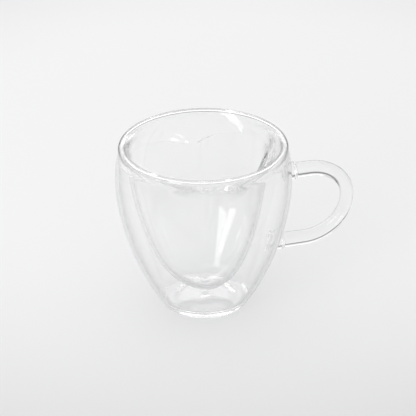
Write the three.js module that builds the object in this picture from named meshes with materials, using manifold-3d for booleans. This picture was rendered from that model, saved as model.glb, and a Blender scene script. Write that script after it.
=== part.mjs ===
import * as THREE from 'three';
import { mergeVertices } from 'three/addons/utils/BufferGeometryUtils.js';
import Module from 'manifold-3d';

// Double-wall glass mug: a smooth blown outer wall, an inner cup whose section is a heart, and
// a solid rod handle welded to the outer wall. Millimetres, +Z up, standing on z = 0.
// The handle points to +X, the heart's cleft to +Y and its tip to -Y.

// Outer wall
const bodyHeight = 89; // table to the top of the lip
const lipRadius = 43.1; // outside of the lip
const bellyBulge = 1.9; // how far the widest ring stands out past the lip
const bellyDrop = 19.7; // widest ring, below the top of the lip
const bellyFullness = 25.4; // pull of the curve below the widest ring
const neckFullness = 10; // pull of the curve above the widest ring
const lipFullness = 3; // pull of the curve up to the lip
const footRadius = 22.4; // outer edge of the foot
const footEdge = 0.6; // rounding of that edge
const heelAngle = 55; // slope of the wall at the foot, degrees from the table
const heelFullness = 18.7; // pull of the curve off the foot
const wall = 1.8; // glass thickness of both walls

// Base
const footRing = 4.4; // width of the flat ring that the mug rests on
const puntDepth = 1.1; // hollow inside the foot ring
const puntEase = 6; // width over which the hollow rises
const baseThickness = 1.7; // glass over the hollow
const floorFillet = 1.2; // inside corner between base and wall

// Vent in the base, closed by a drop of glass once the walls are joined
const ventRadius = 1.6;
const sealFlange = 1.5; // how far the drop spreads past the vent
const sealStandoff = 0.3; // air between the drop and the table
const sealCrown = 1; // height of the drop inside the air space

// Lip, drawn over from the inner cup and fused to the outer wall
const lipThickness = 2.3; // across the rounded top edge
const lipMouth = 0.6; // air between the two walls at the seam
const lipDepth = 4.5; // top of the lip to the seam with the outer wall

// Inner cup
const floorGap = 6.3; // air under the inner cup
const bowlDrop = 2.1; // top of the bowl's curve, below the top of the lip
const shoulderDepth = 8; // height over which the round mouth becomes a heart, at the back
const shoulderFront = 18; // the same height at the heart's tip
const mouthPull = 0.12; // sag of that curve below the mouth, as a share of its width
const ledgePull = 0.27; // pull of that curve up from the heart, as a share of its width
const bowlFlare = 2; // upper exponent of the bowl's curve
const bowlFullness = 2.78; // lower exponent of the bowl's curve
const floorHeart = 0.57; // share of the heart left in the section at the floor
const heartHeight = 60; // height above the floor where the section is the full heart
const creaseEase = 7; // how far round the mug the heart's corners are eased low down, degrees
const creaseLow = 54; // height above the floor where they are fully eased
const creaseHigh = 70; // height above the floor where they are crisp
const pipRadius = 2.8; // ring mark in the middle of the floor
const pipDepth = 0.4;

// Heart section, set in from the neck, the widest circle that clears the outer wall at the seam
const lobeSideInset = 3.4; // widest points of the lobes
const lobeBackInset = 11.4; // rearmost points of the lobes
const tipInset = 7.4; // tip of the heart
const cleftDepth = 8.6; // cleft, in from the rearmost points of the lobes
const cleftRadius = 6;
const tipRadius = 6;
const sideRadius = 80; // bow of the sides between lobe and tip

// Handle: a solid rod bent to an ear, welded on by two pads
const rodRadius = 3.45; // at the outermost point of the ear
const rodSwell = 0.55; // how much thicker the rod is at its two ends
const handleReach = 31.6; // middle of the rod, out from the widest ring
const handleDrop = 22; // upper bar, below the top of the lip
const handleSpan = 39.7; // upper bar to lower bar
const elbowDrop = 17.2; // outermost point, below the upper bar
const upperStraight = 7.6; // straight rod beyond the upper pad
const lowerStraight = 11.2; // straight rod beyond the lower pad
const padFlange = 0.5; // how far a pad stands out round the end of the rod
const padRound = 0.8; // rounding of a pad's rim
const upperPadLength = 3.9; // wall to the end of the rod, at the upper bar
const lowerPadLength = 5.9; // the same at the lower bar, where the wall slopes away

// Clearances of the fused joints
const seamGap = 0.1; // butted faces
const weldGap = 0.3; // pads shaped to the wall

// Facets
const around = 60; // columns round the mug
const bowlRings = 16; // rings up each side of the inner cup
const shoulderRings = 6; // rings over its shoulder
const beadSteps = 6; // steps over the lip
const flankSteps = 12; // steps of the wall from foot to belly
const neckSteps = 4; // steps of the wall from belly to lip
const rodSides = 14;
const rodSteps = 36;
const padSides = 24;
const sealSides = 16;

// Sizes that follow from the ones above
const bellyRadius = lipRadius + bellyBulge;
const bellyHeight = bodyHeight - bellyDrop;
const seamHeight = bodyHeight - lipDepth;
const roofRadius = lipRadius - wall - lipMouth;
const neckRadius = roofRadius - wall;
const mouthRadius = lipRadius - lipThickness;
const beadRadius = lipThickness / 2;
const beadHeight = bodyHeight - beadRadius;
const cavityFloor = puntDepth + baseThickness;
const cupFloor = cavityFloor + floorGap + wall;
const cupDepth = bodyHeight - bowlDrop - cupFloor;
const handleX = bellyRadius + handleReach;
const upperBar = bodyHeight - handleDrop;
const lowerBar = upperBar - handleSpan;
const rodEndRadius = rodRadius + rodSwell;
const padRadius = rodEndRadius + padFlange;

const wasm = await Module();
wasm.setup();

function solidOf(geometry) {
  const bare = geometry.clone();
  bare.deleteAttribute('normal');
  bare.deleteAttribute('uv');
  const merged = mergeVertices(bare, 1e-4);
  const vertProperties = new Float32Array(merged.attributes.position.array);
  const triVerts = new Uint32Array(merged.index.array);
  return new wasm.Manifold(new wasm.Mesh({ numProp: 3, vertProperties, triVerts }));
}

function geometryOf(solid) {
  const mesh = solid.getMesh();
  const geometry = new THREE.BufferGeometry();
  geometry.setAttribute('position', new THREE.BufferAttribute(mesh.vertProperties, 3));
  geometry.setIndex(new THREE.BufferAttribute(mesh.triVerts, 1));
  geometry.computeVertexNormals();
  return geometry;
}

// Turns a profile of (radius, height) points about the mug's axis.
function revolve(points, segments) {
  const geometry = new THREE.LatheGeometry(points, segments);
  geometry.rotateX(Math.PI / 2);
  return geometry;
}

// Moves each point of a profile sideways, to the left of its direction of travel.
function offsetProfile(points, distance) {
  return points.map((point, i) => {
    const before = points[Math.max(i - 1, 0)];
    const after = points[Math.min(i + 1, points.length - 1)];
    const along = after.clone().sub(before).normalize();
    return new THREE.Vector2(point.x - along.y * distance, point.y + along.x * distance);
  });
}

// Radius of a rising profile at a height.
function radiusAt(points, height) {
  const i = points.findIndex((point) => point.y >= height);
  const above = points[i];
  const below = points[i - 1];
  const share = (height - below.y) / (above.y - below.y);
  return THREE.MathUtils.lerp(below.x, above.x, share);
}

// Outer wall from the foot's edge to the seam under the lip.
function wallProfile() {
  const slope = THREE.MathUtils.degToRad(heelAngle);
  const flank = new THREE.CubicBezierCurve(
    new THREE.Vector2(footRadius, footEdge),
    new THREE.Vector2(
      footRadius + heelFullness * Math.cos(slope),
      footEdge + heelFullness * Math.sin(slope),
    ),
    new THREE.Vector2(bellyRadius, bellyHeight - bellyFullness),
    new THREE.Vector2(bellyRadius, bellyHeight),
  );
  const neck = new THREE.CubicBezierCurve(
    new THREE.Vector2(bellyRadius, bellyHeight),
    new THREE.Vector2(bellyRadius, bellyHeight + neckFullness),
    new THREE.Vector2(lipRadius, seamHeight - seamGap - lipFullness),
    new THREE.Vector2(lipRadius, seamHeight - seamGap),
  );
  return [...flank.getPoints(flankSteps), ...neck.getPoints(neckSteps).slice(1)];
}

// Outer shell: the wall with its base, hollowed underneath and open at the vent and the top.
function outerShell(outside) {
  const puntRadius = footRadius - footEdge - footRing;
  const punt = new THREE.QuadraticBezierCurve(
    new THREE.Vector2(puntRadius - puntEase, puntDepth),
    new THREE.Vector2(puntRadius - puntEase / 2, puntDepth),
    new THREE.Vector2(puntRadius, 0),
  );
  const edge = new THREE.QuadraticBezierCurve(
    new THREE.Vector2(footRadius - footEdge, 0),
    new THREE.Vector2(footRadius - footEdge / 3, 0),
    outside[0],
  );
  const inside = offsetProfile(outside, wall);
  const cornerTop = cavityFloor + floorFillet;
  const cornerRadius = radiusAt(inside, cornerTop);
  const corner = new THREE.QuadraticBezierCurve(
    new THREE.Vector2(cornerRadius, cornerTop),
    new THREE.Vector2(radiusAt(inside, cavityFloor), cavityFloor),
    new THREE.Vector2(cornerRadius - 2 * floorFillet, cavityFloor),
  );
  const start = new THREE.Vector2(ventRadius, puntDepth);
  const profile = [
    start,
    ...punt.getPoints(4),
    ...edge.getPoints(3),
    ...outside.slice(1),
    ...inside.filter((point) => point.y > cornerTop + footEdge).reverse(),
    ...corner.getPoints(4),
    new THREE.Vector2(ventRadius, cavityFloor),
    start.clone(),
  ];
  return revolve(profile, around);
}

// Heart outline: two lobes joined by a filleted cleft at the back and drawn in by slightly bowed
// sides to a rounded tip in front. The lobes' size follows from their reach and the cleft's depth.
function heartOutline() {
  const side = neckRadius - lobeSideInset;
  const back = neckRadius - lobeBackInset;
  const spread = side + cleftRadius;
  const lobeRadius = spread + cleftDepth - Math.sqrt(2 * spread * cleftDepth) - cleftRadius;
  const lobeX = side - lobeRadius;
  const lobeY = back - lobeRadius;
  const cleftY = back - cleftDepth + cleftRadius;
  const tipY = tipRadius + tipInset - neckRadius;
  const lobe = new THREE.Vector2(lobeX, lobeY);
  const tip = new THREE.Vector2(0, tipY);
  const along = lobe.clone().sub(tip);
  const apart = along.length();
  const fromTip = sideRadius - tipRadius;
  const fromLobe = sideRadius - lobeRadius;
  const foot = (fromTip ** 2 - fromLobe ** 2 + apart ** 2) / (2 * apart);
  const aside = Math.sqrt(fromTip ** 2 - foot ** 2);
  along.normalize();
  const bow = tip.clone().addScaledVector(along, foot);
  bow.add(new THREE.Vector2(-along.y, along.x).multiplyScalar(aside));
  const tipTurn = tip.clone().sub(bow).angle() - 2 * Math.PI;
  const lobeTurn = lobe.clone().sub(bow).angle() - 2 * Math.PI;
  const join = Math.atan2(cleftY - lobeY, -lobeX);
  const outline = new THREE.Path();
  outline.moveTo(0, tipY - tipRadius);
  outline.absarc(0, tipY, tipRadius, -Math.PI / 2, tipTurn, false);
  outline.absarc(bow.x, bow.y, sideRadius, tipTurn, lobeTurn, false);
  outline.absarc(lobeX, lobeY, lobeRadius, lobeTurn, join, false);
  outline.absarc(0, cleftY, cleftRadius, join - Math.PI, -join, true);
  outline.absarc(-lobeX, lobeY, lobeRadius, Math.PI - join, Math.PI - lobeTurn, false);
  outline.absarc(-bow.x, bow.y, sideRadius, Math.PI - lobeTurn, Math.PI - tipTurn, false);
  outline.absarc(0, tipY, tipRadius, Math.PI - tipTurn, 1.5 * Math.PI, false);
  return outline;
}

// Distance from the axis to the outline in each column, tip first and counter-clockwise.
function heartRadii() {
  const points = heartOutline().getSpacedPoints(720);
  const turned = points.map((point) => {
    const angle = Math.atan2(point.x, -point.y);
    return { angle: (angle + 2 * Math.PI) % (2 * Math.PI), radius: point.length() };
  });
  turned.sort((a, b) => a.angle - b.angle);
  return Array.from({ length: around }, (_, column) => {
    const angle = (2 * Math.PI * column) / around;
    const i = Math.max(turned.findIndex((p) => p.angle >= angle), 0);
    const after = turned[i];
    const before = turned[Math.max(i - 1, 0)];
    const width = after.angle - before.angle;
    const share = width > 0 ? (angle - before.angle) / width : 0;
    return THREE.MathUtils.lerp(before.radius, after.radius, share);
  });
}

// The same distances with the heart's corners eased by a bell curve round the mug.
function easedRadii(radii) {
  const weights = radii.map((_, step) => {
    const apart = Math.min(step, around - step) * (360 / around);
    return Math.exp(-0.5 * (apart / creaseEase) ** 2);
  });
  const total = weights.reduce((sum, weight) => sum + weight, 0);
  return radii.map((_, column) => {
    const sum = weights.reduce((part, weight, step) => part + weight * radii[(column + step) % around], 0);
    return sum / total;
  });
}

// The heart's distances, crisp and eased, their mean, and the depth of the shoulder above it.
function heartSections() {
  const crisp = heartRadii();
  const mean = crisp.reduce((sum, radius) => sum + radius, 0) / around;
  return { crisp, eased: easedRadii(crisp), mean, depths: shoulderDepths() };
}

function ringOf(radii, height) {
  return radii.map((radius, column) => {
    const angle = (2 * Math.PI * column) / around - Math.PI / 2;
    return new THREE.Vector3(radius * Math.cos(angle), radius * Math.sin(angle), height);
  });
}

function circleOf(radius, height) {
  return ringOf(new Array(around).fill(radius), height);
}

// Depth of the shoulder below the top of the bowl's curve in each column, greatest at the tip.
function shoulderDepths() {
  return Array.from({ length: around }, (_, column) => {
    const front = Math.cos((2 * Math.PI * column) / around);
    const share = THREE.MathUtils.smoothstep(front, 0, 1);
    return THREE.MathUtils.lerp(shoulderDepth, shoulderFront, share);
  });
}

// Share of the bowl's superellipse curve at a depth below its top.
function shareBelow(depth) {
  return (2 / Math.PI) * Math.acos((depth / cupDepth) ** (bowlFlare / 2));
}

// Inside of the bowl, from 0 at the floor to 1 at the shoulder. In each column the heart's distance
// is drawn in by a superellipse and gets rounder towards the floor.
function bowlRing(hearts, step) {
  return hearts.depths.map((depth, column) => {
    const turn = (step * shareBelow(depth) * Math.PI) / 2;
    const rise = cupDepth * (1 - Math.cos(turn) ** (2 / bowlFlare));
    const spread = Math.sin(turn) ** (2 / bowlFullness);
    const kept = floorHeart + (1 - floorHeart) * THREE.MathUtils.smoothstep(rise, 0, heartHeight);
    const crisp = THREE.MathUtils.smoothstep(rise, creaseLow, creaseHigh);
    const heart = THREE.MathUtils.lerp(hearts.eased[column], hearts.crisp[column], crisp);
    const radius = spread * THREE.MathUtils.lerp(hearts.mean, heart, kept);
    const angle = (2 * Math.PI * column) / around - Math.PI / 2;
    return new THREE.Vector3(radius * Math.cos(angle), radius * Math.sin(angle), cupFloor + rise);
  });
}

// Shoulder between the bowl at 0 and the round mouth at 1. In each column it leaves the heart along
// the bowl's wall, bends over the shoulder and slopes up to the mouth.
function shoulderRing(hearts, share) {
  const edge = bowlRing(hearts, 1);
  const under = bowlRing(hearts, 0.99);
  const mouth = circleOf(mouthRadius, beadHeight);
  return edge.map((point, column) => {
    const width = mouthRadius - Math.hypot(point.x, point.y);
    const rising = point.clone().sub(under[column]);
    const bend = point.clone().addScaledVector(rising, (width * ledgePull) / rising.z);
    const brow = mouth[column].clone().lerp(bend, 1 / 3);
    brow.z -= width * mouthPull;
    return new THREE.CubicBezierCurve3(point, bend, brow, mouth[column]).getPoint(share);
  });
}

// Outside of the cup's wall: each point moves out in its own upright plane until it lies one
// wall thickness off the inside surface.
function thicken(lower, ring, upper) {
  return ring.map((point, column) => {
    const next = ring[(column + 1) % around];
    const last = ring[(column + around - 1) % around];
    const across = next.clone().sub(last);
    const up = upper[column].clone().sub(lower[column]);
    const normal = across.cross(up).normalize();
    const radial = new THREE.Vector3(point.x, point.y, 0).normalize();
    const plane = radial.multiplyScalar(normal.dot(radial)).setZ(normal.z);
    return point.clone().addScaledVector(plane, wall / Math.max(plane.lengthSq(), 0.4));
  });
}

// Closed skin over a stack of rings, drawn to a point at either end.
function skin(firstPole, rings, lastPole) {
  const vertices = [firstPole, ...rings.flat(), lastPole];
  const columns = rings[0].length;
  const index = [];
  const last = vertices.length - 1;
  const top = last - columns;
  for (let column = 0; column < columns; column += 1) {
    const next = (column + 1) % columns;
    index.push(0, 1 + next, 1 + column);
    for (let ring = 0; ring < rings.length - 1; ring += 1) {
      const low = 1 + ring * columns;
      const high = low + columns;
      index.push(low + column, low + next, high + next);
      index.push(low + column, high + next, high + column);
    }
    index.push(last, top + column, top + next);
  }
  const geometry = new THREE.BufferGeometry().setFromPoints(vertices);
  geometry.setIndex(index);
  geometry.computeVertexNormals();
  return geometry;
}

// Inner cup: up the outside of the heart-shaped bowl, across the roof of the air space to the
// seam, over the round lip and down the inside to the ring mark in the floor.
function innerLiner() {
  const hearts = heartSections();
  const bowlStep = 1 / bowlRings / 4;
  const shoulderStep = 1 / shoulderRings / 4;
  const outside = [];
  for (let i = 1; i <= bowlRings; i += 1) {
    const step = i / bowlRings;
    const ring = bowlRing(hearts, step);
    outside.push(thicken(bowlRing(hearts, step - bowlStep), ring, bowlRing(hearts, step + bowlStep)));
  }
  for (let i = 1; i <= shoulderRings / 3; i += 1) {
    const share = i / shoulderRings;
    const ring = shoulderRing(hearts, share);
    const under = shoulderRing(hearts, share - shoulderStep);
    outside.push(thicken(under, ring, shoulderRing(hearts, share + shoulderStep)));
  }
  const lip = [
    circleOf(roofRadius, seamHeight),
    circleOf(lipRadius - wall, seamHeight),
    circleOf(lipRadius, seamHeight),
  ];
  for (let i = 0; i < beadSteps; i += 1) {
    const angle = (Math.PI * i) / beadSteps;
    const radius = mouthRadius + beadRadius * (1 + Math.cos(angle));
    lip.push(circleOf(radius, beadHeight + beadRadius * Math.sin(angle)));
  }
  const inside = [];
  for (let i = shoulderRings; i >= 1; i -= 1) {
    inside.push(shoulderRing(hearts, i / shoulderRings));
  }
  for (let i = bowlRings; i >= 1; i -= 1) {
    inside.push(bowlRing(hearts, i / bowlRings));
  }
  const pipRim = circleOf(pipRadius, cupFloor);
  const pipFloor = circleOf(pipRadius / 2, cupFloor - pipDepth);
  return skin(
    new THREE.Vector3(0, 0, cupFloor - wall),
    [...outside, ...lip, ...inside, pipRim, pipFloor],
    new THREE.Vector3(0, 0, cupFloor - pipDepth),
  );
}

// Drop of glass that plugs the vent: a flat head in the hollow of the base, a stem through the
// vent and a low crown in the air space.
function ventSeal() {
  const stem = ventRadius - seamGap;
  const head = ventRadius + sealFlange;
  const headTop = puntDepth - seamGap;
  const crownBase = cavityFloor + seamGap;
  const crown = new THREE.EllipseCurve(0, crownBase, stem + sealFlange / 2, sealCrown, 0, Math.PI / 2);
  const profile = [
    new THREE.Vector2(0, sealStandoff),
    new THREE.Vector2(head - sealFlange / 3, sealStandoff),
    new THREE.Vector2(head, headTop),
    new THREE.Vector2(stem, headTop),
    new THREE.Vector2(stem, crownBase),
    ...crown.getPoints(4).slice(0, -1),
    new THREE.Vector2(0, crownBase + sealCrown),
  ];
  return revolve(profile, sealSides);
}

// Middle line of the rod: level off the upper pad, round the elbow and level onto the lower pad.
function handlePath(upperStart, lowerStart) {
  const quarter = (4 / 3) * (Math.SQRT2 - 1);
  const elbow = upperBar - elbowDrop;
  const upperEnd = upperStart + upperStraight;
  const lowerEnd = lowerStart + lowerStraight;
  const at = (x, z) => new THREE.Vector3(x, 0, z);
  const path = new THREE.CurvePath();
  path.add(new THREE.LineCurve3(at(upperStart, upperBar), at(upperEnd, upperBar)));
  path.add(new THREE.CubicBezierCurve3(
    at(upperEnd, upperBar),
    at(THREE.MathUtils.lerp(upperEnd, handleX, quarter), upperBar),
    at(handleX, THREE.MathUtils.lerp(elbow, upperBar, quarter)),
    at(handleX, elbow),
  ));
  path.add(new THREE.CubicBezierCurve3(
    at(handleX, elbow),
    at(handleX, THREE.MathUtils.lerp(elbow, lowerBar, quarter)),
    at(THREE.MathUtils.lerp(lowerEnd, handleX, quarter), lowerBar),
    at(lowerEnd, lowerBar),
  ));
  path.add(new THREE.LineCurve3(at(lowerEnd, lowerBar), at(lowerStart, lowerBar)));
  return path;
}

// Handle: a round section carried along the middle line, thinnest at the outermost point.
function handleRod(upperStart, lowerStart) {
  const path = handlePath(upperStart, lowerStart);
  const out = new THREE.Vector3(0, 1, 0);
  const rings = [];
  for (let step = 0; step <= rodSteps; step += 1) {
    const share = step / rodSteps;
    const middle = path.getPointAt(share);
    const along = path.getTangentAt(share);
    const away = out.clone().cross(along);
    const radius = rodRadius + rodSwell * Math.cos(Math.PI * share) ** 2;
    const ring = [];
    for (let side = 0; side < rodSides; side += 1) {
      const angle = (2 * Math.PI * side) / rodSides;
      const point = middle.clone().addScaledVector(away, radius * Math.cos(angle));
      ring.push(point.addScaledVector(out, radius * Math.sin(angle)));
    }
    rings.push(ring);
  }
  return skin(path.getPointAt(0), rings, path.getPointAt(1));
}

// Weld pad: a round-rimmed button on the rod's line, cut to the shape of the wall behind it.
function weldPad(outside, height, length) {
  const face = radiusAt(outside, height) + length;
  const root = radiusAt(outside, height - padRadius) - wall;
  const flat = padRadius - padRound;
  const rim = new THREE.EllipseCurve(flat, face - padRound, padRound, padRound, 0, Math.PI / 2);
  const profile = [
    new THREE.Vector2(0, root),
    new THREE.Vector2(padRadius, root),
    ...rim.getPoints(4),
    new THREE.Vector2(0, face),
  ];
  const button = new THREE.LatheGeometry(profile, padSides);
  button.rotateZ(-Math.PI / 2);
  button.translate(0, 0, height);
  const clear = offsetProfile(outside, -weldGap);
  const core = revolve([
    new THREE.Vector2(0, 0),
    new THREE.Vector2(clear[0].x, 0),
    ...clear,
    new THREE.Vector2(lipRadius + weldGap, bodyHeight),
    new THREE.Vector2(0, bodyHeight),
  ], around);
  return geometryOf(solidOf(button).subtract(solidOf(core)));
}

function glass() {
  return new THREE.MeshStandardMaterial({
    color: 0xf3f7f7,
    roughness: 0.03,
    metalness: 0,
    transparent: true,
    opacity: 0.35,
  });
}

function piece(name, geometry) {
  const mesh = new THREE.Mesh(geometry, glass());
  mesh.name = name;
  return mesh;
}

const outside = wallProfile();
const upperPadFace = radiusAt(outside, upperBar) + upperPadLength;
const lowerPadFace = radiusAt(outside, lowerBar) + lowerPadLength;

// The origin is on the table, in the middle of the box round mug and handle.
const mug = new THREE.Group();
mug.position.x = -(handleX + rodRadius - bellyRadius) / 2;
mug.add(piece('outer_shell', outerShell(outside)));
mug.add(piece('inner_liner', innerLiner()));
mug.add(piece('vent_seal', ventSeal()));
mug.add(piece('handle', handleRod(upperPadFace + seamGap, lowerPadFace + seamGap)));
mug.add(piece('handle_upper_pad', weldPad(outside, upperBar, upperPadLength)));
mug.add(piece('handle_lower_pad', weldPad(outside, lowerBar, lowerPadLength)));

export default mug;
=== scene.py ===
import math

import bpy
import numpy as np
from mathutils import Matrix, Vector


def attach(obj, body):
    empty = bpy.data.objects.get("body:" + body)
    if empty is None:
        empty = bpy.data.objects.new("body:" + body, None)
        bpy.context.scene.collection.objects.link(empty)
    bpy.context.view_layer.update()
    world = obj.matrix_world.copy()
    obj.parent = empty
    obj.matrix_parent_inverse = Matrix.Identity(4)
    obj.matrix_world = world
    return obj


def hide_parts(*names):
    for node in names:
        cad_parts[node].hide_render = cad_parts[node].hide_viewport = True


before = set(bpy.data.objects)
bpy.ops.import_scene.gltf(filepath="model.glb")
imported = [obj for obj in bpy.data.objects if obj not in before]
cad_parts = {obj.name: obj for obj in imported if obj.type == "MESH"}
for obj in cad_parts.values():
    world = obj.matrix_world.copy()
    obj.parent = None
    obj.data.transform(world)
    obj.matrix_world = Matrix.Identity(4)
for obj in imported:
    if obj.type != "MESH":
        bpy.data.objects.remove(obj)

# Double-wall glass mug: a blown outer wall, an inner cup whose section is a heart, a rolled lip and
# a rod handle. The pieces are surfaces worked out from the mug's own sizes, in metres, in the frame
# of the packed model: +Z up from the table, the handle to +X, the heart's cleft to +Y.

bl_info = {
    "name": "Double-wall glass mug",
    "version": (1, 0, 0),
    "blender": (4, 5, 0),
    "location": "View3D > Sidebar > Mug",
    "description": "Builds a double-wall glass mug with a heart-shaped inner cup, and its stage",
    "category": "Add Mesh",
}

MM = 0.001
TAU = 2.0 * math.pi
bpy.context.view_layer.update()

# Fineness of the meshes: points round the mug and round the rod, and rings up each surface.
COLUMNS = 480
ROD_COLUMNS = 72
ROD_RINGS = 241
ARC_POINTS = 300
HEART_POINTS = 1440
BOWL_RINGS = 62
SHOULDER_RINGS = 26
# Rings of the shoulder's outside that give way to the lip's air space, and rings that give its slope.
ROOF_RINGS = 16
SLOPE_RINGS = 8
# Power by which the bowl's rings lie closer together at the floor.
BOWL_SPACING = 1.6
# Least share of the glass thickness that counts in the upright plane, where the wall runs across it.
LEAST_SHARE = 0.4
SHARP_EDGE = math.radians(40)

# Stretch of the waves in the glass: up the walls and along the rod.
WALL_STRETCH = (1.0, 1.0, 0.6)
ROD_STRETCH = (0.4, 1.0, 1.0)

# Stage, in metres: distance of the lamps, half the table's width and the air under the mug.
LAMP_DISTANCE = 1.2
TABLE_HALF = 4.0
TABLE_POINTS = 9
TABLE_DROP = 0.0002
LIGHT_BOUNCES = 160
# Lamps: name, turn and rise in degrees, width and height in metres, and power in watts.
LAMPS = (
    ("window", -141, 29, (0.38, 0.94), 4.0),
    ("far_strip", -8, 30, (1.5, 0.28), 2.0),
    ("side_window", -95, 13, (0.12, 0.17), 0.3),
    ("overhead", -70, 70, (0.12, 0.12), 0.2),
)


def length(name, description, millimetres):
    """A size in metres, with its default written in millimetres."""
    return bpy.props.FloatProperty(
        name=name, description=description, default=millimetres * MM,
        subtype="DISTANCE", unit="LENGTH", precision=4,
    )


def factor(name, description, default):
    """A plain number."""
    return bpy.props.FloatProperty(name=name, description=description, default=default)


def angle(name, description, degrees):
    """An angle in radians, with its default written in degrees."""
    return bpy.props.FloatProperty(
        name=name, description=description, default=math.radians(degrees),
        subtype="ANGLE", unit="ROTATION",
    )


def colour(name, description, default):
    """A linear colour."""
    return bpy.props.FloatVectorProperty(
        name=name, description=description, default=default, subtype="COLOR", size=3, min=0, max=1,
    )


class MugWallSizes(bpy.types.PropertyGroup):
    """Outer wall, base and vent."""

    height: length("Height", "Table to the top of the lip", 89)
    lip_radius: length("Lip radius", "Outside of the lip", 43.1)
    belly_bulge: length("Belly bulge", "How far the widest ring stands out past the lip", 1.9)
    belly_drop: length("Belly drop", "Widest ring, below the top of the lip", 19.7)
    belly_fullness: length("Belly fullness", "Pull of the curve below the widest ring", 25.4)
    neck_fullness: length("Neck fullness", "Pull of the curve above the widest ring", 10)
    lip_fullness: length("Lip fullness", "Pull of the curve up to the lip", 3)
    foot_radius: length("Foot radius", "Outer edge of the foot", 22.4)
    foot_edge: length("Foot edge", "Rounding of the foot's edge", 0.6)
    heel_angle: angle("Heel angle", "Slope of the wall at the foot", 55)
    heel_fullness: length("Heel fullness", "Pull of the curve off the foot", 18.7)
    thickness: length("Glass thickness", "Thickness of both walls", 1.8)
    foot_ring: length("Foot ring", "Width of the ring that the mug rests on", 4.4)
    punt_depth: length("Punt depth", "Hollow inside the foot ring", 1.1)
    punt_ease: length("Punt ease", "Width over which the hollow rises", 6)
    base_thickness: length("Base thickness", "Glass over the hollow", 1.7)
    floor_fillet: length("Floor fillet", "Inside corner between base and wall", 1.2)
    vent_radius: length("Vent radius", "Hole in the base", 1.6)
    seal_flange: length("Seal flange", "How far the plug spreads past the vent", 1.5)
    seal_standoff: length("Seal standoff", "Air between the plug and the table", 0.3)
    seal_crown: length("Seal crown", "Height of the plug inside the air space", 0.15)


class MugCupSizes(bpy.types.PropertyGroup):
    """Lip and heart-shaped inner cup."""

    lip_thickness: length("Lip thickness", "Across the rounded top edge", 4)
    lip_air: length("Air at the lip", "Air between the two walls at the lip", 2)
    lip_depth: length("Lip depth", "Top of the lip to the seam with the outer wall", 2.3)
    neck: length("Neck", "Both walls and the air between them where the heart begins", 4.2)
    floor_gap: length("Floor gap", "Air under the inner cup", 6.3)
    bowl_drop: length("Bowl drop", "Top of the bowl's curve, below the top of the lip", 2.1)
    shoulder: length("Shoulder", "Height over which the round mouth becomes a heart, at the back", 8)
    shoulder_front: length("Shoulder in front", "The same height at the heart's tip", 18)
    mouth_pull: factor("Mouth pull", "Sag of the curve below the mouth, as a share of its width", 0.12)
    rim_taper: length("Rim taper", "Height over which the outer wall thins towards the lip", 4)
    ledge_pull: factor("Ledge pull", "Pull of the curve up from the heart, as a share of width", 0.27)
    front_pull: factor("Front pull", "Added pull in front, as a share of the added height", 0.35)
    flare: factor("Bowl flare", "Upper exponent of the bowl's curve", 2.0)
    fullness: factor("Bowl fullness", "Lower exponent of the bowl's curve", 2.78)
    floor_heart: factor("Heart at the floor", "Share of the heart left at the floor", 0.57)
    heart_height: length("Heart height", "Height above the floor where the heart is full", 60)
    pip_radius: length("Pip radius", "Ring mark in the middle of the floor", 2.8)
    pip_depth: length("Pip depth", "Depth of the ring mark", 0.5)
    side_inset: length("Lobe side inset", "Widest points of the lobes, in from the neck", 3.4)
    back_inset: length("Lobe back inset", "Rearmost points of the lobes, in from the neck", 11.4)
    tip_inset: length("Tip inset", "Tip of the heart, in from the neck", 7.4)
    cleft_depth: length("Cleft depth", "Cleft, in from the rearmost points of the lobes", 8.6)
    cleft_radius: length("Cleft radius", "Rounding of the cleft", 6)
    tip_radius: length("Tip radius", "Rounding of the tip", 6)
    side_radius: length("Side radius", "Bow of the sides between lobe and tip", 80)
    softness: angle("Softness", "How far round the mug the heart's corners are eased at the top", 4.5)
    deep_softness: angle("Deep softness", "How far round the mug they are eased further down", 7)
    crease_low: length("Crease low", "Height above the floor where the corners are fully eased", 54)
    crease_high: length("Crease high", "Height above the floor where the corners are crisp", 70)


class MugHandleSizes(bpy.types.PropertyGroup):
    """Rod handle and its two weld pads."""

    rod_radius: length("Rod radius", "Rod at the outermost point of the ear", 3.45)
    rod_swell: length("Rod swell", "How much thicker the rod is at its two ends", 0.55)
    reach: length("Reach", "Middle of the rod, out from the widest ring", 31.6)
    drop: length("Drop", "Upper bar, below the top of the lip", 22)
    span: length("Span", "Upper bar to lower bar", 39.7)
    elbow_drop: length("Elbow drop", "Outermost point, below the upper bar", 17.2)
    upper_straight: length("Upper straight", "Straight rod beyond the upper pad", 7.6)
    lower_straight: length("Lower straight", "Straight rod beyond the lower pad", 11.2)
    pad_flange: length("Pad flange", "How far a pad stands out round the rod", 0.5)
    pad_flare: length("Pad flare", "How far a pad spreads where it meets the wall", 0.7)
    weld_neck: length("Weld neck", "Depth of the crease between pad and rod", 0.45)
    weld_gap: length("Weld gap", "Air between a pad and the wall", 0.02)
    upper_pad: length("Upper pad", "Wall to the end of the rod at the upper bar", 3.9)
    lower_pad: length("Lower pad", "Wall to the end of the rod at the lower bar", 5.9)


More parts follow.
